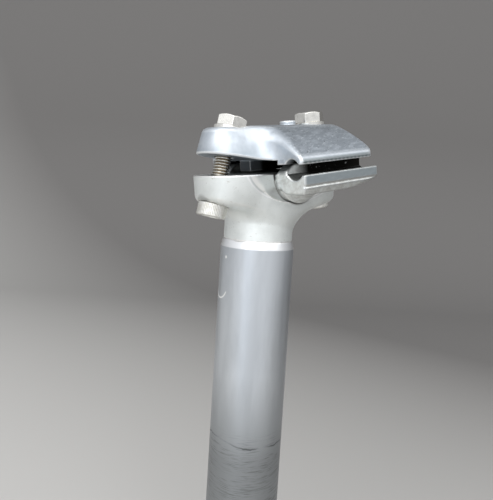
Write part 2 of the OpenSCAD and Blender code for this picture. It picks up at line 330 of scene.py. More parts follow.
def upper_clamp_field(x, y, z):
    """The cover over the rails: a crowned roof with two wings, and a thick ear for each bolt."""
    u, w = turned(x, z, CLAMP_TILT)
    v = np.abs(y)
    top = both(w - EAR_TOP, (w - EAR_TOP + (u - 4) * 0.0611) * 0.998, 2.0)
    crown = crown_field(v, w)
    # The ears narrow by 3.2 mm over their upper 8.8 mm
    lean = EAR_R - 3.2 * (w - 9) / 8.8
    ear = (np.hypot(np.maximum(EAR_CENTRES[0] - u, 0) + np.maximum(u - EAR_CENTRES[1], 0), y) - lean) * 0.94
    # The ears' flanks sweep out into the wings' front, and meet their rear end more sharply
    front = both(join(ear, ROOF_ENDS[0] - u, 8.0), v - WING_HALF_W, np.where(y > 0, 4.5, 1.0))
    rear = both(join(ear, u - ROOF_ENDS[1], 2.0), v - WING_HALF_W, 3.0)
    # The edge is crisp at the lip and fades out towards the top
    soft = 0.9 + 0.42 * np.clip(w - 6, 0, 9)
    round_off = 1.6 + (soft - 1.6) * np.clip((v - 7) / 5, 0, 1)
    solid = both(np.maximum(front, rear), both(crown, top, 1.5), round_off)
    under = np.minimum(ROOF_INNER_Z - w, np.maximum(ROOF_Z - w, 16 - v))
    solid = both(solid, under, 0.35)
    ear_foot = np.minimum(-13.2 - u, 9.4 - (u + 32.2) * 0.221 - w)
    solid = both(solid, ear_foot, 0.8)
    solid = both(solid, RAIL_R - np.hypot(v - RAIL[0], w - RAIL[1]), 0.35)
    keel = both(np.maximum(v - 3, np.maximum(-13.5 - u, u - 11.5)), np.maximum(1.4 - w, w - 7.4), 0.4)
    pad = both(np.hypot(u - 8.5, y) - 3.0, np.maximum(w - 18.8, 15 - w), 0.4)
    solid = np.minimum(np.minimum(solid, keel), pad)
    for side, reach, seat, _ in BOLTS.values():
        off, along = from_bolt(x, y, z, side, reach)
        solid = both(solid, BOLT_HOLE_R - off, 0.25)
        solid = both(solid, -np.maximum(off - 6.5, seat_height(side, reach, seat) - along), 0.25)
    return solid


def crown_field(v, w):
    """Distance from the arc that runs from the cover's flat top down to its lip."""
    start, end = (FLAT_HALF_W, EAR_TOP), (WING_HALF_W, LIP_TOP_Z)
    across, drop = end[0] - start[0], start[1] - end[1]
    chord = math.hypot(across, drop)
    back = math.sqrt(CROWN_R**2 - chord**2 / 4)
    centre = ((start[0] + end[0]) / 2 - back * drop / chord, (start[1] + end[1]) / 2 - back * across / chord)
    return np.hypot(v - centre[0], w - centre[1]) - CROWN_R


def upper_clamp_marks(x, y, z):
    """Old grease with painted shade under the cover, painted shade on the outer face of its lip, its scratched roof
    and painted shade on the foot of its ears.
    """
    u, w = turned(x, z, CLAMP_TILT)
    v = np.abs(y)
    # Painted shade: the grooves, the underside and the keel are painted near black, fading towards the front
    groove = np.clip((RAIL_R + 0.55 - np.hypot(v - RAIL[0], w - RAIL[1])) / 0.5, 0, 1)
    under = (v < 18.6) & (w < ROOF_INNER_Z + 0.1)
    dirt_and_shade = np.maximum(groove, under) * np.clip((u + 12.5) / 5, 0.2, 1)
    dirt_and_shade = np.maximum(dirt_and_shade, 0.7 * (v < 3.2) * (w < 5))
    # Painted shade: the outer face of the lip is painted dark blue-grey
    lip = np.clip((v - 26.3) / 0.25, 0, 1) * np.clip((6.0 - w) / 0.3, 0, 1)
    rubbed = np.clip((crown_field(v, w) + 1.1) / 1.0, 0, 1) * np.clip((u + 12.5) / 1.5, 0, 1) * (w > 6.5)
    # Painted shade: the ears are painted darker blue-grey towards their foot, the dim floor's reflection
    dull = np.clip((12.5 - w) / 4, 0, 1) * np.clip((14 - v) / 4, 0, 1)
    return {"dirt_and_shade": dirt_and_shade, "lip": lip, "rubbed": rubbed, "dull": dull}


def hex_head_field(x, y, z):
    """A hexagon head with a turned chamfer, drawn from its bearing face up."""
    half, lean = y * 0.5, x * math.sqrt(0.75)
    flats = np.maximum(np.abs(y), np.maximum(np.abs(half + lean), np.abs(half - lean)))
    solid = both(flats - HEX_ACROSS / 2, np.maximum(z - HEX_H, -z), 0.12)
    cone = (np.hypot(x, y) - (HEX_ACROSS / 2 - 0.35) + (z - HEX_H) * 1.75) * 0.5
    return both(solid, cone, 0.1)


# Meshes turned, joined or made by geometry nodes


def lathe(name, outline, segments=128):
    """Mesh turned about Z from a closed outline of (radius, height) in millimetres."""
    bm = bmesh.new()
    rings = []
    for r, h in outline:
        angles = [2 * math.pi * i / segments for i in range(segments)]
        rings.append([bm.verts.new((r * math.cos(a) * MM, r * math.sin(a) * MM, h * MM)) for a in angles])
    for a, b in zip(rings, rings[1:] + rings[:1]):
        for i in range(segments):
            j = (i + 1) % segments
            bm.faces.new((a[i], a[j], b[j], b[i]))
    bmesh.ops.recalc_face_normals(bm, faces=bm.faces)
    mesh = bpy.data.meshes.new(name)
    bm.to_mesh(mesh)
    bm.free()
    mesh.shade_smooth()
    return mesh


def joined(name, meshes):
    """One mesh out of several (mesh, matrix in millimetres) pairs."""
    bm = bmesh.new()
    for mesh, matrix in meshes:
        placed = mesh.copy()
        placed.transform(Matrix.Scale(MM, 4) @ matrix @ Matrix.Scale(1 / MM, 4))
        bm.from_mesh(placed)
        bpy.data.meshes.remove(placed)
    out = bpy.data.meshes.new(name)
    bm.to_mesh(out)
    bm.free()
    out.shade_smooth()
    return out


def add_piece(name, mesh, material, replaced, sharp=None):
    """Links a finished mesh, gives it its material, and sets it on the frame in place of a CAD node."""
    piece = bpy.data.objects.new(name, mesh)
    bpy.context.scene.collection.objects.link(piece)
    mesh.materials.clear()
    mesh.materials.append(material)
    if sharp is not None:
        mesh.set_sharp_from_angle(angle=math.radians(sharp))
    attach(piece, "root")
    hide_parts(replaced)
    return piece


def node(tree, kind, inputs=None, **settings):
    """Adds a node with its settings, fills its inputs with values or links, and returns its first output."""
    made = tree.nodes.new(kind)
    for key, value in settings.items():
        setattr(made, key, value)
    for key, value in (inputs or {}).items():
        named = (socket for socket in made.inputs if socket.enabled and socket.name == key)
        socket = made.inputs[key] if isinstance(key, int) else next(named)
        if isinstance(value, bpy.types.NodeSocket):
            tree.links.new(value, socket)
        else:
            socket.default_value = value
    return next((s for s in made.outputs if s.enabled), made)


def geometry_tree(name, sizes):
    """A geometry node tree with a geometry input, a material input and named sizes."""
    tree = bpy.data.node_groups.new(name, "GeometryNodeTree")
    tree.interface.new_socket("Geometry", in_out="INPUT", socket_type="NodeSocketGeometry")
    for key, kind, value in sizes:
        tree.interface.new_socket(key, in_out="INPUT", socket_type=kind).default_value = value
    tree.interface.new_socket("Material", in_out="INPUT", socket_type="NodeSocketMaterial")
    tree.interface.new_socket("Geometry", in_out="OUTPUT", socket_type="NodeSocketGeometry")
    return tree, node(tree, "NodeGroupInput").node.outputs


def finish_tree(tree, given, geometry):
    """Ends a tree in real geometry with its material."""
    real = node(tree, "GeometryNodeRealizeInstances", {"Geometry": geometry})
    coated = node(tree, "GeometryNodeSetMaterial", {"Geometry": real, "Material": given["Material"]})
    node(tree, "NodeGroupOutput", {"Geometry": coated})


def from_nodes(name, tree, mesh, **inputs):
    """Runs a geometry node tree on a mesh and returns the result as a plain mesh."""
    carrier = bpy.data.objects.new(name, mesh)
    bpy.context.scene.collection.objects.link(carrier)
    modifier = carrier.modifiers.new("Build", "NODES")
    modifier.node_group = tree
    for item in tree.interface.items_tree:
        if item.in_out == "INPUT" and item.name in inputs:
            modifier[item.identifier] = inputs[item.name]
    graph = bpy.context.evaluated_depsgraph_get()
    result = bpy.data.meshes.new_from_object(carrier.evaluated_get(graph))
    result.name = name
    bpy.data.objects.remove(carrier)
    return result


def thread_tree():
    """A threaded rod: a fine cylinder whose skin is set in along a helix, and marked where it is deep."""
    tree, given = geometry_tree(
        "Threaded rod",
        (
            ("Radius", "NodeSocketFloat", 0.003),
            ("Pitch", "NodeSocketFloat", 0.001),
            ("Depth", "NodeSocketFloat", 0.0006),
            ("Length", "NodeSocketFloat", 0.03),
            ("Steps", "NodeSocketInt", 300),
        ),
    )
    sizes = {"Vertices": 40, "Radius": given["Radius"], "Depth": given["Length"], "Side Segments": given["Steps"]}
    rod = node(tree, "GeometryNodeMeshCylinder", sizes, fill_type="TRIANGLE_FAN")
    place = node(tree, "GeometryNodeInputPosition")
    split = node(tree, "ShaderNodeSeparateXYZ", {0: place}).node.outputs
    angle = node(tree, "ShaderNodeMath", {0: split["Y"], 1: split["X"]}, operation="ARCTAN2")
    turns = node(tree, "ShaderNodeMath", {0: angle, 1: 2 * math.pi}, operation="DIVIDE")
    rise = node(tree, "ShaderNodeMath", {0: split["Z"], 1: given["Pitch"]}, operation="DIVIDE")
    phase = node(tree, "ShaderNodeMath", {0: rise, 1: turns}, operation="SUBTRACT")
    wave = node(tree, "ShaderNodeMath", {0: phase, 1: 0.5}, operation="PINGPONG")
    deep = node(tree, "ShaderNodeMapRange", {"Value": wave, "From Min": 0.06, "From Max": 0.44})
    inset = node(tree, "ShaderNodeMath", {0: deep, 1: given["Depth"]}, operation="MULTIPLY")
    share = node(tree, "ShaderNodeMath", {0: inset, 1: given["Radius"]}, operation="DIVIDE")
    left = node(tree, "ShaderNodeMath", {0: 1.0, 1: share}, operation="SUBTRACT")
    scale = node(tree, "ShaderNodeCombineXYZ", {"X": left, "Y": left, "Z": 1.0})
    moved = node(tree, "ShaderNodeVectorMath", {0: place, 1: scale}, operation="MULTIPLY")
    shaped = node(tree, "GeometryNodeSetPosition", {"Geometry": rod, "Position": moved})
    marked = node(tree, "GeometryNodeStoreNamedAttribute", {"Geometry": shaped, "Name": "dirt_and_shade", "Value": deep})
    finish_tree(tree, given, marked)
    return tree


def knurl_tree():
    """Straight knurling: the outer skin of a turned nut is set in between fine upright ribs."""
    tree, given = geometry_tree(
        "Straight knurl",
        (
            ("Radius", "NodeSocketFloat", 0.0052),
            ("Ribs", "NodeSocketInt", 40),
            ("Depth", "NodeSocketFloat", 0.0002),
        ),
    )
    place = node(tree, "GeometryNodeInputPosition")
    split = node(tree, "ShaderNodeSeparateXYZ", {0: place}).node.outputs
    angle = node(tree, "ShaderNodeMath", {0: split["Y"], 1: split["X"]}, operation="ARCTAN2")
    turns = node(tree, "ShaderNodeMath", {0: angle, 1: 2 * math.pi}, operation="DIVIDE")
    ribs = node(tree, "ShaderNodeMath", {0: turns, 1: given["Ribs"]}, operation="MULTIPLY")
    wave = node(tree, "ShaderNodeMath", {0: ribs, 1: 0.5}, operation="PINGPONG")
    valley = node(tree, "ShaderNodeMath", {0: wave, 1: 2.0}, operation="MULTIPLY")
    flat = node(tree, "ShaderNodeVectorMath", {0: place, 1: (1, 1, 0)}, operation="MULTIPLY")
    out = node(tree, "ShaderNodeVectorMath", {0: flat}, operation="LENGTH")
    skin = node(tree, "ShaderNodeMath", {0: given["Radius"], 1: 0.00005}, operation="SUBTRACT")
    outer = node(tree, "ShaderNodeMath", {0: out, 1: skin}, operation="GREATER_THAN")
    deep = node(tree, "ShaderNodeMath", {0: valley, 1: outer}, operation="MULTIPLY")
    inset = node(tree, "ShaderNodeMath", {0: deep, 1: given["Depth"]}, operation="MULTIPLY")
    share = node(tree, "ShaderNodeMath", {0: inset, 1: given["Radius"]}, operation="DIVIDE")
    left = node(tree, "ShaderNodeMath", {0: 1.0, 1: share}, operation="SUBTRACT")
    scale = node(tree, "ShaderNodeCombineXYZ", {"X": left, "Y": left, "Z": 1.0})
    moved = node(tree, "ShaderNodeVectorMath", {0: place, 1: scale}, operation="MULTIPLY")
    shaped = node(tree, "GeometryNodeSetPosition", {"Geometry": given["Geometry"], "Position": moved})
    marked = node(tree, "GeometryNodeStoreNamedAttribute", {"Geometry": shaped, "Name": "dirt_and_shade", "Value": deep})
    finish_tree(tree, given, marked)
    return tree


# Materials


def srgb(code, alpha=1.0):
    """Linear colour from an sRGB hex value."""
    parts = [int(code[i : i + 2], 16) / 255 for i in (1, 3, 5)]
    return [c / 12.92 if c <= 0.04045 else ((c + 0.055) / 1.055) ** 2.4 for c in parts] + [alpha]


def new_metal(name):
    """A metal material, with its tree, its shader and the place on the piece in metres."""
    made = bpy.data.materials.new(name)
    made.use_nodes = True
    tree = made.node_tree
    shader = tree.nodes["Principled BSDF"]
    shader.inputs["Metallic"].default_value = 1.0
    return made, tree, shader, node(tree, "ShaderNodeTexCoord").node.outputs["Object"]


def mottle(tree, place, size, low, high, stretch=(1, 1, 1), turn=(0, 0, 0), detail=2.0):
    """0 to 1 in soft blotches about size mm across, which stretch draws out into lines along a turned axis."""
    moved = node(
        tree,
        "ShaderNodeMapping",
        {"Vector": place, "Rotation": [math.radians(a) for a in turn], "Scale": stretch},
        vector_type="TEXTURE",
    )
    noise = node(tree, "ShaderNodeTexNoise", {"Vector": moved, "Scale": 1 / (size * MM), "Detail": detail})
    return node(tree, "ShaderNodeMapRange", {"Value": noise, "From Min": low, "From Max": high})


def coat(tree, shader, layers, rough, bumps):
    """Lays colours over one another by their masks, and sets the roughness and the bumps.

    layers starts with a bare colour and goes on with (mask, colour); rough likewise; bumps holds (mask, height in mm).
    """
    colour = layers[0]
    for mask, over in layers[1:]:
        colour = node(tree, "ShaderNodeMix", {"Factor": mask, "A": colour, "B": over}, data_type="RGBA")
    tree.links.new(colour, shader.inputs["Base Color"])
    dull = rough[0]
    for mask, over in rough[1:]:
        dull = node(tree, "ShaderNodeMix", {"Factor": mask, "A": dull, "B": over})
    tree.links.new(dull, shader.inputs["Roughness"])
    normal = None
    for mask, height in bumps:
        inputs = {"Height": mask, "Distance": abs(height) * MM, "Strength": 1.0}
        if normal:
            inputs["Normal"] = normal
        normal = node(tree, "ShaderNodeBump", inputs, invert=height < 0)
    if normal:
        tree.links.new(normal, shader.inputs["Normal"])


def polished_shaft(colours):
    """Polished drawn tube: a mirror with a soft grain, which shows tall streaks of the lamps."""
    made, tree, shader, place = new_metal("Drawn aluminium tube, polished and scuffed")
    split = node(tree, "ShaderNodeSeparateXYZ", {0: place}).node.outputs
    # Lines that the drawing die left along the tube, coarser than the real ones so that they show
    drawn = mottle(tree, place, 0.9, 0.4, 0.7, stretch=(1, 1, 80))
    cloudy = mottle(tree, place, 6.0, 0.42, 0.62, stretch=(1, 1, 5), detail=4.0)
    # Rings of scratches where the post was turned in the frame, coarser than real ones, fading above the collar
    ringed = mottle(tree, place, 0.32, 0.5, 0.68, stretch=(16, 16, 1), turn=(3, -4, 0), detail=3.0)
    patches = mottle(tree, place, 5.0, 0.36, 0.56, stretch=(2.5, 2.5, 1))
    scuffed = node(tree, "ShaderNodeMapRange", {"Value": split["Z"], "From Min": 0.026, "From Max": -0.006})
    low = node(tree, "ShaderNodeMapRange", {"Value": split["Z"], "From Min": 0.006, "From Max": -0.003})
    low = node(tree, "ShaderNodeMath", {0: low, 1: patches}, operation="MULTIPLY", use_clamp=True)
    rings = node(tree, "ShaderNodeMath", {0: low, 1: ringed}, operation="MULTIPLY")
    # Dark line that the collar's edge wore in, which rises to the front
    rise = node(tree, "ShaderNodeMapRange", {"Value": split["X"], "From Min": -0.0105, "From Max": -0.0137})
    line = node(tree, "ShaderNodeMath", {0: rise, 1: 0.0022}, operation="MULTIPLY")
    drift = node(tree, "ShaderNodeMath", {0: cloudy, 1: 0.0006}, operation="MULTIPLY")
    line = node(tree, "ShaderNodeMath", {0: line, 1: drift}, operation="SUBTRACT")
    off = node(tree, "ShaderNodeMath", {0: split["Z"], 1: line}, operation="SUBTRACT")
    off = node(tree, "ShaderNodeMath", {0: off}, operation="ABSOLUTE")
    worn = node(tree, "ShaderNodeMapRange", {"Value": off, "From Min": 0.0004, "From Max": 0.0001})
    worn = node(tree, "ShaderNodeMath", {0: worn, 1: patches}, operation="MULTIPLY")
    # One curved pale scratch and a speck high on the front
    near = node(tree, "ShaderNodeVectorMath", {0: place, 1: [c * MM for c in ARC_AT]}, operation="DISTANCE").node
    arc = node(tree, "ShaderNodeMath", {0: near.outputs["Value"], 1: ARC_R * MM}, operation="SUBTRACT")
    arc = node(tree, "ShaderNodeMath", {0: arc}, operation="ABSOLUTE")
    arc = node(tree, "ShaderNodeMapRange", {"Value": arc, "From Min": 0.0004, "From Max": 0.00015})
    under = node(tree, "ShaderNodeMapRange", {"Value": split["Z"], "From Min": 0.0553, "From Max": 0.0545})
    arc = node(tree, "ShaderNodeMath", {0: arc, 1: under}, operation="MULTIPLY")
    speck = node(tree, "ShaderNodeVectorMath", {0: place, 1: [c * MM for c in SPECK_AT]}, operation="DISTANCE").node
    speck = node(tree, "ShaderNodeMapRange", {"Value": speck.outputs["Value"], "From Min": 0.0007, "From Max": 0.0004})
    pale = node(tree, "ShaderNodeMath", {0: arc, 1: speck}, operation="MAXIMUM")
    streaks = mottle(tree, place, 0.5, 0.64, 0.7, stretch=(1, 1, 26), turn=(4, 3, 0))
    # Painted highlight: the bevel at the top is painted near white
    bevel = node(tree, "ShaderNodeMapRange", {"Value": split["Z"], "From Min": 0.0708, "From Max": 0.0711})
    coat(
        tree,
        shader,
        [
            colours.aluminium,
            (cloudy, srgb("#BEC2C6")),
            (scuffed, srgb("#929597")),
            (rings, srgb("#737575")),
            (worn, srgb("#616364")),
            (pale, srgb("#F4F4F2")),
            (bevel, srgb("#F4F5F6")),
        ],
        [0.33, (drawn, 0.4), (streaks, 0.36), (scuffed, 0.44), (worn, 0.5), (pale, 0.6), (bevel, 0.3)],
        [(drawn, 0.002), (rings, -0.012), (worn, -0.03)],
    )
    return made


def blasted_head(colours):
    """Forging blasted with glass beads: an even, pale satin that shades softly, with milled flats that glint."""
    made, tree, shader, place = new_metal("Bead-blasted aluminium forging")
    machined, dirt_and_shade, edge, flat_edge_highlight = (
        node(tree, "ShaderNodeAttribute", attribute_name=key).node.outputs["Fac"]
        for key in ("machined", "dirt_and_shade", "edge", "flat_edge_highlight")
    )
    # Dimples of the beads, real ones under 0.1 mm, drawn coarser so that they show
    beads = mottle(tree, place, 0.35, 0.35, 0.65, detail=1.0)
    cloudy = mottle(tree, place, 5.0, 0.4, 0.65, detail=4.0)
    nicks = mottle(tree, place, 0.5, 0.68, 0.74, stretch=(1, 5, 1), turn=(10, 20, 35))
    coat(
        tree,
        shader,
        [
            colours.forging,
            (cloudy, srgb("#DDE0DE")),
            (machined, srgb("#D6D9D8")),
            (nicks, srgb("#C4C2BC")),
            # Painted highlight on the outside edges
            (edge, srgb("#F6F5F2")),
            # Painted highlight along the lower edge of each flat
            (flat_edge_highlight, srgb("#FFFFFF")),
            # Painted shade in the cradle and round the nut seats
            (dirt_and_shade, srgb("#3A3733")),
        ],
        [0.52, (cloudy, 0.56), (machined, 0.34), (edge, 0.35), (flat_edge_highlight, 0.3), (dirt_and_shade, 0.7)],
        [(beads, 0.012), (nicks, -0.02)],
    )
    return made


def satin_clamp(colours):
    """Forging that was tumbled: a bright satin with soft dents, and old grease with painted shade where the rails lay.
    """
    made, tree, shader, place = new_metal("Tumbled aluminium forging")
    dirt_and_shade, edge, lip = (
        node(tree, "ShaderNodeAttribute", attribute_name=key).node.outputs["Fac"]
        for key in ("dirt_and_shade", "edge", "lip")
    )
    dents = mottle(tree, place, 1.8, 0.38, 0.66, detail=3.0)
    scuffs = mottle(tree, place, 0.35, 0.6, 0.7, stretch=(14, 1, 1), turn=(0, -9, 4))
    grease = mottle(tree, place, 1.5, 0.15, 0.35, detail=4.0)
    dirt_and_shade = node(tree, "ShaderNodeMath", {0: dirt_and_shade, 1: grease}, operation="MULTIPLY")
    coat(
        tree,
        shader,
        [
            colours.forging,
            (dents, srgb("#CCCDC9")),
            (scuffs, srgb("#E6E6E3")),
            # Painted shade on the lips' outer faces
            (lip, srgb("#A3ABAE")),
            # Outside edges painted darker: a painted shade that dulls their glint
            (edge, srgb("#C2C4C2")),
            # Painted shade, over mottled grease, in the grooves and between the clamps
            (dirt_and_shade, srgb("#1B1916")),
        ],
        [0.36, (dents, 0.42), (scuffs, 0.44), (lip, 0.38), (edge, 0.34), (dirt_and_shade, 0.75)],
        [(dents, 0.04), (scuffs, -0.003)],
    )
    return made


def worn_cover(colours):
    """Forging polished by hand and then rubbed: long soft highlights, cut by pale scratches on its top."""
    made, tree, shader, place = new_metal("Polished aluminium forging, rubbed and scratched")
    dirt_and_shade, edge, lip, rubbed, dull = (
        node(tree, "ShaderNodeAttribute", attribute_name=key).node.outputs["Fac"]
        for key in ("dirt_and_shade", "edge", "lip", "rubbed", "dull")
    )
    cloudy = mottle(tree, place, 3.2, 0.38, 0.66, detail=5.0)
    # Scratches in two directions on the roof, coarser than real ones so that they show, in paler patches
    fine = mottle(tree, place, 0.45, 0.6, 0.72, stretch=(14, 1, 1), turn=(0, -9, 24))
    long = mottle(tree, place, 0.5, 0.64, 0.7, stretch=(22, 1, 1), turn=(0, -9, -50))
    patch = mottle(tree, place, 1.8, 0.46, 0.66, stretch=(3, 1, 1), turn=(0, -9, 10), detail=3.0)
    patch = node(tree, "ShaderNodeMath", {0: patch, 1: rubbed}, operation="MULTIPLY")
    scratches = node(tree, "ShaderNodeMath", {0: fine, 1: long}, operation="MAXIMUM")
    scratches = node(tree, "ShaderNodeMath", {0: scratches, 1: rubbed}, operation="MULTIPLY")
    pits = mottle(tree, place, 1.1, 0.76, 0.8, detail=0.0)
    pits = node(tree, "ShaderNodeMath", {0: pits, 1: rubbed}, operation="MULTIPLY")
    coat(
        tree,
        shader,
        [
            colours.cover,
            (cloudy, srgb("#BBC2C9")),
            # Painted shade towards the foot of the ears
            (dull, srgb("#A5ADB4")),
            (rubbed, srgb("#A2A9B0")),
            # Painted shade on the lip's outer face
            (lip, srgb("#667072")),
            (patch, srgb("#B9C0C7")),
            (scratches, srgb("#CDD3D8")),
            (pits, srgb("#8A8F93")),
            # Painted highlight on the outside edges
            (edge, srgb("#EEF1F3")),
            # Painted shade, with old grease, in the grooves and under the cover
            (dirt_and_shade, srgb("#14120F")),
        ],
        [0.44, (cloudy, 0.5), (lip, 0.34), (scratches, 0.5), (pits, 0.6), (dirt_and_shade, 0.75)],
        [(cloudy, 0.015), (scratches, -0.004), (pits, -0.04)],
    )
    return made


def plated_bolt(colours):
    """Steel with a thin bright plating: near-mirror flats, and brown dirt with painted shade down in the thread."""
    made, tree, shader, place = new_metal("Bright-plated steel bolt")
    dirt_and_shade = node(tree, "ShaderNodeAttribute", attribute_name="dirt_and_shade").node.outputs["Fac"]
    dirt_and_shade = node(tree, "ShaderNodeMapRange", {"Value": dirt_and_shade, "From Min": 0.4, "From Max": 0.85})
    dull = mottle(tree, place, 2.2, 0.42, 0.66)
    coat(
        tree,
        shader,
        # Brown dirt with painted shade in the thread's valleys
        [colours.steel, (dull, srgb("#D2D0CB")), (dirt_and_shade, srgb("#8A7C66"))],
        [0.2, (dull, 0.26), (dirt_and_shade, 0.45)],
        [(dull, 0.002)],
    )
    return made


def plated_nut(colours):
    """Steel with a thicker zinc plating: a soft grey glint on each rib, and painted shade down between them."""
    made, tree, shader, place = new_metal("Zinc-plated steel nut")
    dirt_and_shade = node(tree, "ShaderNodeAttribute", attribute_name="dirt_and_shade").node.outputs["Fac"]
    bloom = mottle(tree, place, 1.6, 0.4, 0.66)
    coat(
        tree,
        shader,
        # Painted shade down between the knurl's ribs
        [colours.zinc, (bloom, srgb("#D6D4CC")), (dirt_and_shade, srgb("#A09C92"))],
        [0.26, (bloom, 0.36), (dirt_and_shade, 0.55)],
        [(bloom, 0.003)],
    )
    return made


def colour_choice(name, code, told):
    """A colour that a user may change."""
    return bpy.props.FloatVectorProperty(
        name=name, description=told, subtype="COLOR", size=4, min=0, max=1, default=srgb(code)
    )


class SeatpostSizes(bpy.types.PropertyGroup):
    """Sizes that a user may change."""

    mesh_step: bpy.props.FloatProperty(
        name="Mesh Step", description="Cell of the head's and clamps' meshes", default=0.00033, unit="LENGTH"
    )
    thread_pitch: bpy.props.FloatProperty(
        name="Thread Pitch", description="Rise of the bolts' thread in one turn", default=0.001, unit="LENGTH"
    )
    thread_depth: bpy.props.FloatProperty(
        name="Thread Depth", description="Depth of the bolts' thread", default=0.0006, unit="LENGTH"
    )
    knurl_ribs: bpy.props.IntProperty(name="Knurl Ribs", description="Ribs round each nut", default=56)
    knurl_depth: bpy.props.FloatProperty(
        name="Knurl Depth", description="Depth between two ribs", default=0.00008, unit="LENGTH"
    )


class SeatpostColours(bpy.types.PropertyGroup):
    """Bare colours of the metals."""

    aluminium: colour_choice("Aluminium", "#C9CDD1", "Polished shaft")
    forging: colour_choice("Forging", "#E6E9E7", "Blasted head and lower clamp")
    cover: colour_choice("Cover", "#C9CFD5", "Polished upper clamp")
    steel: colour_choice("Steel", "#E2E0DA", "Plated bolts and washers")
    zinc: colour_choice("Zinc", "#F0EFEA", "Plated nuts")


class SEATPOST_OT_shaft(bpy.types.Operator):
    """Build the polished shaft"""

    bl_idname = "seatpost.shaft"
    bl_label = "Shaft"

    def execute(self, context):
        foot, bevel, top = SHAFT_FOOT, BEVEL_FOOT, SHOULDER_Z
        outline = [(BORE_R, foot + 0.2), (BORE_R + 0.2, foot), (SHAFT_R - 0.5, foot), (SHAFT_R, foot + 0.5)]
        outline += [(SHAFT_R, bevel - 0.25), (SHAFT_R - 0.03, bevel + 0.15), (SHAFT_R - 0.52, top - 0.35)]
        outline += [(SHAFT_R - 0.7, top - 0.05), (SHAFT_R - 0.9, top), (BORE_R, top)]
        mesh = lathe("shaft", outline, 192)
        add_piece("shaft", mesh, polished_shaft(context.scene.seatpost_colours), "shaft_tube", sharp=5)
        return {"FINISHED"}


class SEATPOST_OT_head(bpy.types.Operator):
    """Build the forged head"""

    bl_idname = "seatpost.head"
    bl_label = "Head"

    def execute(self, context):
        step = context.scene.seatpost.mesh_step / MM
        mesh = surface_mesh("head", head_field, (-29, -15, 48), (35, 15, 103.5), step, head_marks)
        add_piece("forged_head", mesh, blasted_head(context.scene.seatpost_colours), "head")
        return {"FINISHED"}


class SEATPOST_OT_clamps(bpy.types.Operator):
    """Build the lower and the upper clamp"""

    bl_idname = "seatpost.clamps"
    bl_label = "Clamps"

    def execute(self, context):
        step = context.scene.seatpost.mesh_step / MM
        colours = context.scene.seatpost_colours
        mesh = surface_mesh("lower_clamp", lower_clamp_field, (-8, -28, 86), (36, 28, 110), step, lower_clamp_marks)
        add_piece("rail_cradle", mesh, satin_clamp(colours), "lower_clamp")
        mesh = surface_mesh("upper_clamp", upper_clamp_field, (-30, -28, 97), (34, 28, 124), step, upper_clamp_marks)
        add_piece("rail_cover", mesh, worn_cover(colours), "upper_clamp")
        return {"FINISHED"}


class SEATPOST_OT_bolts(bpy.types.Operator):
    """Build both bolts, their washers and nuts"""

    bl_idname = "seatpost.bolts"
    bl_label = "Bolts, Washers and Nuts"

    def execute(self, context):
        sizes, colours = context.scene.seatpost, context.scene.seatpost_colours
        steel, zinc = plated_bolt(colours), plated_nut(colours)
        threads, knurl = thread_tree(), knurl_tree()
        bore, face = NUT_BORE_R, NUT_R - 0.35
        body = [(bore, 0.2), (bore + 0.15, 0), (face, 0), (NUT_R, 0.3), (NUT_R, NUT_H - 0.3), (face, NUT_H)]
        body += [(bore + 0.15, NUT_H), (bore, NUT_H - 0.2)]
        hole, face, thick = BOLT_HOLE_R, WASHER_R - 0.15, WASHER_T
        ring = [(hole, 0.1), (hole + 0.1, 0), (face, 0), (WASHER_R, 0.15), (WASHER_R, thick - 0.15), (face, thick)]
        ring += [(hole + 0.1, thick), (hole, thick - 0.1)]
        for name, (side, reach, top, turn) in BOLTS.items():
            place = bolt_matrix(side, reach)
            seat = seat_height(side, reach, top)
            under_head, low = seat + WASHER_T, -LUG_GRIP - NUT_H
            long = under_head - low - 0.4
            rod = from_nodes(
                name + "_rod",
                threads,
                bpy.data.meshes.new("start"),
                Pitch=sizes.thread_pitch,
                Depth=sizes.thread_depth,
                Length=long * MM,
                Steps=round(long * 12),
                Material=steel,
            )
            cap = surface_mesh("cap", hex_head_field, (-6.2, -6.2, -0.3), (6.2, 6.2, 4.4), 0.14)
            parts = [
                (rod, place @ Matrix.Translation((0, 0, (under_head + low + 0.4) / 2))),
                (cap, place @ Matrix.Translation((0, 0, under_head)) @ Matrix.Rotation(math.radians(turn), 4, "Z")),
            ]
            add_piece(name + "_hex_bolt", joined(name + "_hex_bolt", parts), steel, name + "_bolt")
            washer = joined(name + "_ring", [(lathe("ring", ring, 96), place @ Matrix.Translation((0, 0, seat)))])
            add_piece(name + "_ring", washer, steel, name + "_washer", sharp=30)
            nut = from_nodes(
                name + "_nut",
                knurl,
                lathe("body", body, sizes.knurl_ribs * 8),
                Ribs=sizes.knurl_ribs,
                Depth=sizes.knurl_depth,
                Material=zinc,
            )
            nut = joined(name + "_nut", [(nut, place @ Matrix.Translation((0, 0, low)))])
            add_piece(name + "_barrel_nut", nut, zinc, name + "_nut", sharp=40)
        return {"FINISHED"}


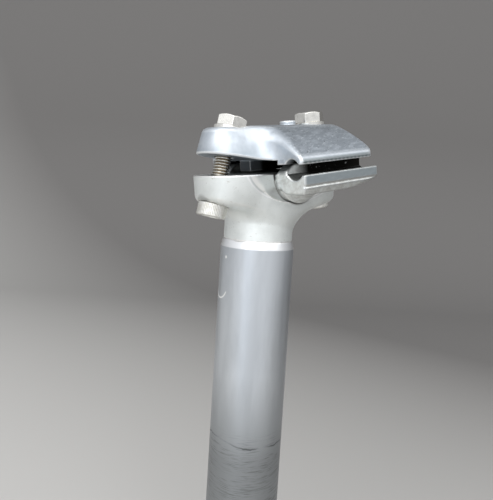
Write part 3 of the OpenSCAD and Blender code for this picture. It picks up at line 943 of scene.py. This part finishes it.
class SEATPOST_OT_stage(bpy.types.Operator):
    """Add the floor, the backdrop, the lights and the camera"""

    bl_idname = "seatpost.stage"
    bl_label = "Studio Stage"

    def execute(self, context):
        scene = context.scene
        bm = bmesh.new()
        # Paper that lies under the post, curves up behind it and stands as the backdrop, as depth and height
        near, back, bend, tall, half_w = -0.3, 0.7, 0.35, 1.8, 0.9
        steps = [(near, 0.0), (back, 0.0)]
        for a in np.linspace(0.1, math.pi / 2, 12):
            steps.append((back + bend * math.sin(a), bend - bend * math.cos(a)))
        steps.append((back + bend, tall))
        left = [bm.verts.new((-half_w, d, h + SHAFT_FOOT * MM)) for d, h in steps]
        right = [bm.verts.new((half_w, d, h + SHAFT_FOOT * MM)) for d, h in steps]
        for i in range(len(steps) - 1):
            bm.faces.new((left[i], right[i], right[i + 1], left[i + 1]))
        bmesh.ops.rotate(bm, verts=bm.verts, matrix=Matrix.Rotation(math.radians(-38), 3, "Z"))
        mesh = bpy.data.meshes.new("sweep")
        bm.to_mesh(mesh)
        bm.free()
        mesh.shade_smooth()
        sweep = bpy.data.objects.new("sweep", mesh)
        scene.collection.objects.link(sweep)
        # Pale paper with painted shade: painted darker grey towards the back right
        paper = bpy.data.materials.new("Seamless paper with painted shade")
        paper.use_nodes = True
        tree = paper.node_tree
        place = node(tree, "ShaderNodeTexCoord").node.outputs["Object"]
        along = node(tree, "ShaderNodeVectorMath", {0: place, 1: (0.95, 0.2, 0.25)}, operation="DOT_PRODUCT").node
        shade = node(tree, "ShaderNodeMapRange", {"Value": along.outputs["Value"], "From Min": -0.3, "From Max": 0.5})
        shades = {"Factor": shade, "A": srgb("#DCDAD6"), "B": srgb("#72706E")}
        colour = node(tree, "ShaderNodeMix", shades, data_type="RGBA")
        tree.links.new(colour, tree.nodes["Principled BSDF"].inputs["Base Color"])
        tree.nodes["Principled BSDF"].inputs["Roughness"].default_value = 0.9
        mesh.materials.append(paper)

        world = bpy.data.worlds.new("Studio")
        scene.world = world
        world.use_nodes = True
        # A white room, brightest at ROOM_BRIGHT and dimmest across from it
        tree = world.node_tree
        way = node(tree, "ShaderNodeTexCoord").node.outputs["Generated"]
        facing = node(tree, "ShaderNodeVectorMath", {0: way, 1: ROOM_BRIGHT}, operation="DOT_PRODUCT").node
        sides = {"Value": facing.outputs["Value"], "From Min": -1.0, "From Max": 1.0, "To Min": 0.05, "To Max": 1.2}
        tree.nodes["Background"].inputs["Color"].default_value = srgb("#FAFCFF")
        tree.links.new(node(tree, "ShaderNodeMapRange", sides), tree.nodes["Background"].inputs["Strength"])

        for name, at, size, power, colour in LAMPS:
            lamp = bpy.data.lights.new(name, "AREA")
            lamp.shape = "RECTANGLE"
            lamp.size, lamp.size_y = size
            lamp.energy = power
            lamp.color = srgb(colour)[:3]
            holder = bpy.data.objects.new(name, lamp)
            scene.collection.objects.link(holder)
            holder.location = at
            holder.rotation_euler = (Vector(LAMP_AIM) - Vector(at)).to_track_quat("-Z", "Y").to_euler()

        camera = bpy.data.cameras.new("Camera")
        camera.sensor_fit = "AUTO"
        camera.sensor_width = 36.0
        camera.lens = camera.sensor_width * FOCAL_PX / FRAME_PX
        camera.shift_y = SHIFT_PX / FRAME_PX
        camera.clip_start = 0.01
        eye = bpy.data.objects.new("Camera", camera)
        scene.collection.objects.link(eye)
        azimuth, elevation, roll = (math.radians(angle) for angle in EYE_TURN)
        level = math.cos(elevation)
        back = Vector((math.sin(azimuth) * level, -math.cos(azimuth) * level, math.sin(elevation)))
        right = Vector((math.cos(azimuth), math.sin(azimuth), 0.0))
        up = back.cross(right)
        across = right * math.cos(roll) + up * math.sin(roll)
        upward = up * math.cos(roll) - right * math.sin(roll)
        place = back * EYE_PLACE[0] + across * EYE_PLACE[1] + upward * EYE_PLACE[2] + Vector((0, 0, BEVEL_FOOT))
        turn = Matrix((across, upward, back)).transposed().to_4x4()
        eye.matrix_world = Matrix.Translation(place * MM) @ turn
        scene.camera = eye
        scene.view_settings.view_transform = "Standard"
        return {"FINISHED"}


class SEATPOST_PT_panel(bpy.types.Panel):
    """Lists the sizes, the colours and the pieces"""

    bl_label = "Seatpost"
    bl_idname = "SEATPOST_PT_panel"
    bl_space_type = "VIEW_3D"
    bl_region_type = "UI"
    bl_category = "Seatpost"

    def draw(self, context):
        column = self.layout.column()
        for group in (context.scene.seatpost, context.scene.seatpost_colours):
            for key in group.bl_rna.properties.keys():
                if key not in ("rna_type", "name"):
                    column.prop(group, key)
        for step in STEPS:
            column.operator(step.bl_idname)


STEPS = (SEATPOST_OT_shaft, SEATPOST_OT_head, SEATPOST_OT_clamps, SEATPOST_OT_bolts, SEATPOST_OT_stage)
CLASSES = (SeatpostSizes, SeatpostColours, *STEPS, SEATPOST_PT_panel)


def register():
    for cls in CLASSES:
        bpy.utils.register_class(cls)
    bpy.types.Scene.seatpost = bpy.props.PointerProperty(type=SeatpostSizes)
    bpy.types.Scene.seatpost_colours = bpy.props.PointerProperty(type=SeatpostColours)


def unregister():
    del bpy.types.Scene.seatpost_colours
    del bpy.types.Scene.seatpost
    for cls in reversed(CLASSES):
        bpy.utils.unregister_class(cls)


def main():
    register()
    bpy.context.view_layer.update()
    for step in ("shaft", "head", "clamps", "bolts", "stage"):
        getattr(bpy.ops.seatpost, step)()


if __name__ == "__main__":
    main()
